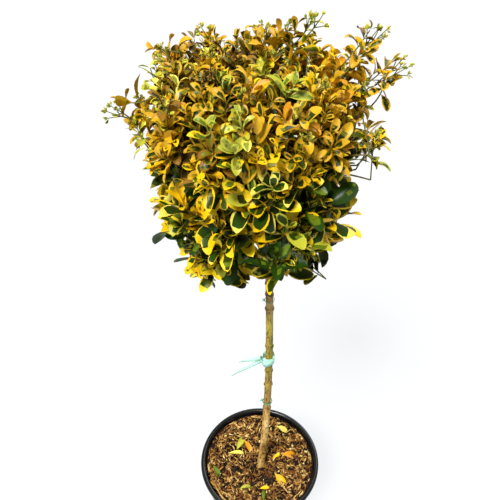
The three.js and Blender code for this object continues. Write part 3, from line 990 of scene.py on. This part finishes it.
def pot_material():
    shader = Shader("pot_plastic", "06080a", 0.34)
    dust = shader.ramp(shader.noise(35, 6), [(0.45, "06080a"), (0.78, "13161a")])
    specks = shader.ramp(shader.noise(520, 3), [(0.66, "000000"), (0.74, "ffffff")])
    shader.colour(shader.mix(shader.mix(0.2, "000000", specks), dust, "6b6458"))
    shader.rough_between(shader.noise(60, 5), 0.24, 0.44)
    shader.bump(shader.noise(700, 3), 0.12, 0.2 * MM)
    return shader.material


DRAIN_HOLES = 6
DRAIN_RADIUS = 7 * MM
DRAIN_RING = 70 * MM


def drain_cutters():
    """One short rod through the floor of the pot for each drain hole."""
    rods = Gathering()
    for turn in np.linspace(0, 2 * math.pi, DRAIN_HOLES, endpoint=False):
        middle = np.array([DRAIN_RING * math.cos(turn), DRAIN_RING * math.sin(turn), POT_FLOOR / 2])
        ends = middle + np.outer([-1, 1], UP) * POT_FLOOR
        rods.add(*tube(ends, np.full(2, DRAIN_RADIUS), 24), 0)
    return rods


def bored(piece, cutters):
    """Takes the cutters' solids out of the piece."""
    modifier = piece.modifiers.new("bored", "BOOLEAN")
    modifier.operation = "DIFFERENCE"
    modifier.solver = "EXACT"
    modifier.object = cutters
    bpy.context.view_layer.update()
    shaped = piece.evaluated_get(bpy.context.evaluated_depsgraph_get())
    mesh = bpy.data.meshes.new_from_object(shaped)
    piece.modifiers.clear()
    piece.data = mesh
    bpy.data.objects.remove(cutters)


plastic = pot_material()
pot = keep(mesh_object("nursery_pot", *lathe(pot_profile(), POT_SIDES), [plastic]), "pot_plastic", "pot")
bored(pot, drain_cutters().make("drain_cutters", [plastic]))

# ---- Potting mix: a rough surface under shredded bark ----

mix_low, mix_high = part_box("potting_mix")
SOIL_LEVEL = trunk_points[:, 2].min()
SOIL_REACH = mix_high[0] - 0.6 * MM
MULCH_RISE = mix_high[2] - SOIL_LEVEL - 1.5 * MM  # how much higher it lies at the pot's wall
MIX_FOOT = POT_FOOT - POT_WALL - 1 * MM
SOIL_DIP = 2.5 * MM  # how far under the stem's foot it lies in the middle
SOIL_RINGS, SOIL_SIDES = 40, 120
CHIPS = 2700


def soil_height(x, y):
    dish = MULCH_RISE * (math.hypot(x, y) / SOIL_REACH) ** 2
    bumps = 2.4 * noise.noise(Vector((x * 42, y * 42, 3.1)))
    bumps += 1.3 * noise.noise(Vector((x * 130, y * 130, 8.3)))
    radius = math.hypot(x, y)
    return SOIL_LEVEL - SOIL_DIP + dish + bumps * MM * min(1.0, radius / (20 * MM))


def soil_mesh():
    radii = np.linspace(SOIL_REACH, 0, SOIL_RINGS, endpoint=False)
    profile = [(0, mix_low[2]), (MIX_FOOT, mix_low[2]), (SOIL_REACH, pot_high[2] - POT_COLLAR)]
    profile += [(r, SOIL_LEVEL + MULCH_RISE) for r in radii] + [(0, SOIL_LEVEL - SOIL_DIP)]
    points, triangles = lathe(np.array(profile), SOIL_SIDES)
    top = points[:, 2] > SOIL_LEVEL + MULCH_RISE - 1 * MM
    for i in np.nonzero(top)[0]:
        points[i, 2] = soil_height(points[i, 0], points[i, 1])
    return points, triangles


CHIP_TRIANGLES = np.array([
    (0, 1, 5), (0, 5, 4), (1, 2, 6), (1, 6, 5), (2, 3, 7), (2, 7, 6), (3, 0, 4), (3, 4, 7),
    (4, 5, 9), (4, 9, 8), (5, 6, 10), (5, 10, 9), (6, 7, 11), (6, 11, 10), (7, 4, 8), (7, 8, 11),
    (3, 2, 1), (3, 1, 0), (8, 9, 10), (8, 10, 11),
])


def chip(gathering, place, yaw, pitch, size, colour, rng):
    """A torn sliver of bark: three uneven sections with a bend in the middle."""
    length, width, thick = size
    corners = np.array([[-1, -1], [1, -1], [1, 1], [-1, 1]]) * 0.5
    sections = []
    for along, girth in ((-0.5, rng.uniform(0.25, 0.8)), (0.0, 1.0), (0.5, rng.uniform(0.15, 0.7))):
        section = corners * girth * rng.uniform(0.75, 1.25, (4, 2)) * (width, thick)
        rise = (0.25 - along**2) * length * rng.uniform(-0.1, 0.35)
        lengthwise = np.full(4, along * length) + rng.normal(0, 0.05, 4) * length
        sections.append(np.column_stack([lengthwise, section[:, 0], section[:, 1] + rise]))
    points = np.concatenate(sections)
    roll = rng.uniform(-0.7, 0.7)
    cr, sr, cp, sp, cy, sy = (f(a) for a in (roll, pitch, yaw) for f in (math.cos, math.sin))
    turn = np.array([[cy, -sy, 0], [sy, cy, 0], [0, 0, 1]]) @ np.array([[cp, 0, sp], [0, 1, 0], [-sp, 0, cp]])
    turn = turn @ np.array([[1, 0, 0], [0, cr, -sr], [0, sr, cr]])
    gathering.add(points @ turn.T + place, CHIP_TRIANGLES, colour)


CHIP_TONES = {
    "tan": "a97a38",
    "straw": "cba45c",
    "brown": "77501c",
    "red_brown": "643613",
    "cream": "e4cb84",
    "dark": "1e1206",
}
CHIP_SHARES = np.array([24, 13, 24, 11, 5, 23]) / 100
# Chips in a darker patch round a place in front of the stem are dealt these shares instead.
DARK_PATCH_SHARES = np.array([8, 4, 28, 18, 2, 40]) / 100
DARK_PATCH_MIDDLE = (14 * MM, -8 * MM)
DARK_PATCH_REACH = 62 * MM


def chip_material(name, colour):
    shader = Shader("chip_" + name, colour, 0.8, specular=0.3)
    grain = shader.noise(600, 4, (1, 1, 1), 0.7)
    shader.rough_between(grain, 0.65, 0.95)
    shader.bump(grain, 0.6, 0.5 * MM)
    return shader.material


def mulch():
    rng = np.random.default_rng(SEED + 3)
    gathering = Gathering()
    stem = np.array([trunk_points[:, 0][trunk_points[:, 2] < SOIL_LEVEL + MM].mean(), 0])
    for _ in range(CHIPS):
        length = rng.uniform(5, 16) * MM if rng.random() < 0.86 else rng.uniform(16, 30) * MM
        radius, turn = (SOIL_REACH - 4 * MM) * math.sqrt(rng.random()), rng.uniform(0, 2 * math.pi)
        x, y = radius * math.cos(turn), radius * math.sin(turn)
        near_stem = math.hypot(x - stem[0], y - stem[1]) < 13 * MM
        # How likely a chip is to take the darker patch's shares, less so away from its middle.
        dark_patch = 1.2 - math.hypot(x - DARK_PATCH_MIDDLE[0], y - DARK_PATCH_MIDDLE[1]) / DARK_PATCH_REACH
        dark_patch += 0.5 * noise.noise(Vector((x * 28, y * 28, 5.7)))
        colour = rng.choice(len(CHIP_TONES), p=DARK_PATCH_SHARES if rng.random() < dark_patch else CHIP_SHARES)
        size = (length, rng.uniform(1.8, 5.4) * MM, rng.uniform(0.8, 2.0) * MM)
        pitch, yaw = rng.normal(0, 0.32), rng.uniform(0, 2 * math.pi)
        if radius + 0.5 * length > SOIL_REACH - 1 * MM:
            yaw = turn + math.pi / 2 + rng.normal(0, 0.1)
        z = soil_height(x, y) + rng.uniform(0.2, 5.4) * MM
        if not near_stem:
            chip(gathering, np.array([x, y, z]), yaw, pitch, size, colour, rng)
    return gathering


soil = Shader("soil", "20140c", 0.95, specular=0.2)
soil.colour(soil.ramp(soil.noise(240, 6), [(0.35, "0c0703"), (0.7, "2e1d0d")]))
soil.bump(soil.noise(500, 6), 1.0, 1.2 * MM)
keep(mesh_object("potting_soil", *soil_mesh(), [soil.material]), "potting_mix", "potting_mix")
keep(mulch().make("bark_mulch", [chip_material(*tone) for tone in CHIP_TONES.items()]), "potting_mix")

# Leaves that have fallen on the mulch, dealt round the stem.
FALLEN_LEAVES = 11
FALLEN_TONES = ["orange", "lime", "gold", "lemon", "green", "deep_gold"]
FALLEN_REACH = (50 * MM, 108 * MM)
FALLEN_LENGTH = (24 * MM, 46 * MM)
GOLDEN_TURN = math.pi * (3 - math.sqrt(5))  # deals places evenly round a circle
ABOVE_SOIL = 10 * MM


def fallen_leaves():
    rng = np.random.default_rng(SEED + 4)
    gathering = Gathering()
    for i in range(FALLEN_LEAVES):
        turn = i * GOLDEN_TURN + rng.normal(0, 0.2)
        reach = rng.uniform(*FALLEN_REACH)
        x, y = reach * math.cos(turn), reach * math.sin(turn)
        length = rng.uniform(*FALLEN_LENGTH)
        yaw = rng.uniform(-math.pi / 2, math.pi / 2)
        tone = FALLEN_TONES[i % len(FALLEN_TONES)]
        kind = Variegation([tone], [tone], [tone], 0.4, 0.0)
        along = unit(np.array([math.cos(yaw), math.sin(yaw), 0.12]))
        face = square_to(UP + rng.normal(0, 0.15, 3), along)
        foot = np.array([x, y, soil_height(x, y) + ABOVE_SOIL]) - along * length / 2
        curl, broad = rng.uniform(0.3, 1.1), rng.uniform(0.55, 0.9)
        leaf(gathering, foot, along, face, length, broad, curl, 0.5, kind, kind.deal(rng), rng)
    return gathering


keep(fallen_leaves().make("fallen_leaves", leaf_tones), "foliage")

# ---- Ties and ribbon ----

COIL_STEPS, KNOT_STEPS, TWINE_SIDES = 40, 8, 8


def ring_path(centre, radius, tilt, steps):
    turns = np.linspace(0, 2 * math.pi, steps)
    return np.stack([centre[0] + radius * np.cos(turns), centre[1] + radius * np.sin(turns),
                     centre[2] + radius * tilt * np.cos(turns)], axis=1)


def tie(name, coils, thick, knot_turn, end_length):
    """Green twine round the stem, with a knot and two short ends.

    coils are the heights of its turns over its middle; knot_turn is where the knot sits, in degrees.
    """
    low, high = (np.array(corner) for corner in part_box(name))
    centre = (low + high) / 2
    radius = (high[0] - low[0]) / 2 - 1 * MM
    gathering = Gathering()
    for offset in coils:
        path = ring_path(centre + UP * offset, radius, 0.05, COIL_STEPS)
        gathering.add(*tube(path, np.full(COIL_STEPS, thick), TWINE_SIDES), 0)
    turn = math.radians(knot_turn)
    knot = centre + np.array([math.cos(turn), math.sin(turn), 0]) * (radius + 0.4 * MM)
    outward = unit(knot - centre)
    path = bent_path(knot - UP * 2 * MM, knot + outward * 2 * MM, knot + UP * 2 * MM, KNOT_STEPS)
    gathering.add(*tube(path, np.full(KNOT_STEPS, 1.6 * thick), TWINE_SIDES), 0)
    for way in (UP * 0.9 + outward * 0.6, -UP * 0.8 + outward * 0.9):
        end = knot + unit(way) * end_length
        bend = knot + unit(way) * end_length * 0.4 + outward * 2.5 * MM
        path = bent_path(knot, bend, end, KNOT_STEPS)
        gathering.add(*tube(path, np.linspace(1.0, 0.8, KNOT_STEPS) * thick, TWINE_SIDES), 0)
    return gathering


twine = Shader("twine", "2f8f6a", 0.55)
twine.colour(twine.ramp(twine.noise(500), [(0.3, "1d6b4c"), (0.7, "55b892")]))
twine.bump(twine.noise(2500), 0.4, 0.2 * MM)
tie_upper = tie("tie_upper", [0.0], 0.55 * MM, 185, 5 * MM)
keep(tie_upper.make("tie_upper_twine", [twine.material]), "twine", "tie_upper")
tie_lower = tie("tie_lower", [-0.7 * MM, 0.7 * MM], 0.75 * MM, 170, 7 * MM)
keep(tie_lower.make("tie_lower_twine", [twine.material]), "twine", "tie_lower")

RIBBON_WIDTH = 14.5 * MM
RIBBON_THICK = 0.35 * MM
BAND_STEPS, TAIL_STEPS, FOLD_STEPS = 60, 18, 10


def strip(path, across, thick, face):
    """A flat ribbon along a path; across is half its width at each point, face its flat side's direction."""
    tangents = np.gradient(path, axis=0)
    rows = []
    for centre, tangent, half, look in zip(path, tangents, across, face):
        wide = unit(np.cross(unit(tangent), look))
        for a, b in ((-1, -1), (1, -1), (1, 1), (-1, 1)):
            rows.append(centre + wide * half * a + look * thick * 0.5 * b)
    points = np.array(rows)
    last = len(points) - 4
    caps = np.array([(2, 1, 0), (3, 2, 0), (last, last + 1, last + 2), (last, last + 2, last + 3)])
    return points, np.concatenate([grid_triangles(len(path), 4, True), caps])


def ribbon():
    """Two overlapping turns round the stem, gathered at the left into a knot.

    The knot has two tails and a folded tip.
    """
    low, high = (np.array(corner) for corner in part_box("ribbon"))
    z = high[2] - 12 * MM
    near = np.abs(trunk_points[:, 2] - z) < 60 * MM
    centre = np.array([trunk_points[near][:, 0].mean() - 2 * MM, 0, z])
    radius = high[0] - centre[0] - 1.8 * MM
    gathering = Gathering()
    turns = np.linspace(math.radians(-185), math.radians(172), BAND_STEPS)
    for level, tilt, spread in ((3.0, 0.14, 0.0), (-2.5, 0.24, 0.9)):
        loose = radius + spread * MM + 0.5 * MM * np.cos(2 * turns + level)
        loose = loose + 0.12 * MM * np.sin(9 * turns + level)
        heights = level * MM + radius * tilt * np.cos(turns) + 0.5 * MM * np.sin(3 * turns)
        path = centre + np.stack([loose * np.cos(turns), loose * np.sin(turns), heights], axis=1)
        lean = 0.1 * np.sin(4 * turns + level)
        face = np.stack([np.cos(turns) * np.cos(lean), np.sin(turns) * np.cos(lean), np.sin(lean)], axis=1)
        gathered = 0.6 + 0.4 * np.clip(np.abs(np.abs(turns) - math.pi) / 0.9, 0, 1)
        gathering.add(*strip(path, gathered * RIBBON_WIDTH / 2, RIBBON_THICK, face), 0)
    knot = centre + np.array([-radius - 0.5 * MM, -3 * MM, 0])
    t = np.linspace(0, 1, TAIL_STEPS)
    ends = (
        (knot + UP * 3 * MM, np.array([low[0] + 17 * MM, -7 * MM, z - 3 * MM]), 5.0, 2.0, 7 * MM),
        (knot - UP * 3 * MM, np.array([low[0] + 2 * MM, -4 * MM, low[2] + 3 * MM]), 4.4, 1.6, 4 * MM),
    )
    for root, end, wide, narrow, sway in ends:
        bend = (root + end) / 2 + np.array([-0.2, -0.3, 1.0]) * sway
        tail = bent_path(root, bend, end, TAIL_STEPS)
        twist = 0.6 * np.sin(4 * t)
        look = np.stack([np.zeros(TAIL_STEPS), -np.cos(twist), np.sin(twist)], axis=1)
        gathering.add(*strip(tail, np.linspace(wide, narrow, TAIL_STEPS) * MM, RIBBON_THICK, look), 2)
    fold_bend, fold_end = knot + np.array([-2.5, -2, 7]) * MM, knot + np.array([-1, -1, 12]) * MM
    fold = bent_path(knot + UP * 2 * MM, fold_bend, fold_end, FOLD_STEPS)
    look = np.tile(unit(np.array([-0.3, -1.0, 0.1])), (FOLD_STEPS, 1))
    gathering.add(*strip(fold, np.linspace(2.6, 1.4, FOLD_STEPS) * MM, RIBBON_THICK, look), 1)
    return gathering


def ribbon_material(name, colour, specular):
    shader = Shader(name, colour, 0.4, specular)
    shader.bump(shader.noise(220, 3), 0.3, 0.5 * MM)
    return shader


ribbon_pale = ribbon_material("ribbon_pale", "acdfcc", 0.3)
ribbon_pale.rough_between(ribbon_pale.noise(120), 0.25, 0.45)
ribbon_green = ribbon_material("ribbon_green", "1f8a5a", 0.5)
ribbon_thin = ribbon_material("ribbon_thin", "b4e2d0", 0.3)
ribbon_looks = [shader.material for shader in (ribbon_pale, ribbon_green, ribbon_thin)]
keep(ribbon().make("marker_ribbon", ribbon_looks), "ribbon_plastic", "ribbon")

# ---- Floor, light and camera ----

FLOOR_REACH = 14
floor_points = np.array([[-1, -1, 0], [1, -1, 0], [1, 1, 0], [-1, 1, 0]], float) * FLOOR_REACH
floor_triangles = np.array([(0, 1, 2), (0, 2, 3)])
floor_material = Shader("floor", "616263", 0.9, specular=0.0)
floor_material.bump(floor_material.noise(3), 0.02, 1 * MM)
floor_material.principled.inputs["Emission Color"].default_value = (0.97, 0.985, 1.0, 1)
floor_material.principled.inputs["Emission Strength"].default_value = 0.84
floor = mesh_object("floor", floor_points - UP * 0.2 * MM, floor_triangles, [floor_material.material])


def sun(name, direction, strength, softness, colour):
    """Light that comes from a direction. softness is the sun's width in degrees."""
    data = bpy.data.lights.new(name, "SUN")
    data.energy = strength
    data.angle = math.radians(softness)
    data.color = colour
    made = bpy.data.objects.new(name, data)
    made.location = Vector(direction) * 3
    made.rotation_euler = Vector(direction).to_track_quat("Z", "Y").to_euler()
    bpy.context.scene.collection.objects.link(made)


sun("key", (-0.45, -0.75, 1.3), 4.5, 16, (1.0, 0.985, 0.95))
sun("back", (0.5, 0.9, 0.9), 1.5, 40, (0.95, 0.98, 1.0))

# The backdrop is seen white, and lights the plant less than it looks.
BACKDROP_SEEN, BACKDROP_LIGHT = 1.0, 0.24
world = bpy.data.worlds.new("studio")
world.use_nodes = True
world_tree = world.node_tree
background = world_tree.nodes["Background"]
background.inputs["Color"].default_value = (0.985, 0.992, 1.0, 1)
seen = world_tree.nodes.new("ShaderNodeLightPath")
strength = world_tree.nodes.new("ShaderNodeMapRange")
strength.inputs["To Min"].default_value = BACKDROP_LIGHT
strength.inputs["To Max"].default_value = BACKDROP_SEEN
world_tree.links.new(seen.outputs["Is Camera Ray"], strength.inputs["Value"])
world_tree.links.new(strength.outputs["Result"], background.inputs["Strength"])
bpy.context.scene.world = world
bpy.context.scene.view_settings.view_transform = "Standard"

CAMERA_PLACE = (-0.021, -0.650, 1.428)
CAMERA_DOWN = 39.1  # degrees below level
CAMERA_ROLL = -0.23
CAMERA_LENS = 37.44
camera_data = bpy.data.cameras.new("camera")
camera_data.sensor_width = 36
camera_data.lens = CAMERA_LENS
camera_data.clip_end = 60
camera = bpy.data.objects.new("camera", camera_data)
camera.location = CAMERA_PLACE
tilt = Matrix.Rotation(math.radians(90 - CAMERA_DOWN), 3, "X")
camera.rotation_euler = (tilt @ Matrix.Rotation(math.radians(CAMERA_ROLL), 3, "Z")).to_euler()
bpy.context.scene.collection.objects.link(camera)
bpy.context.scene.camera = camera

for piece in pieces:
    print(piece.name, len(piece.data.polygons), "triangles")
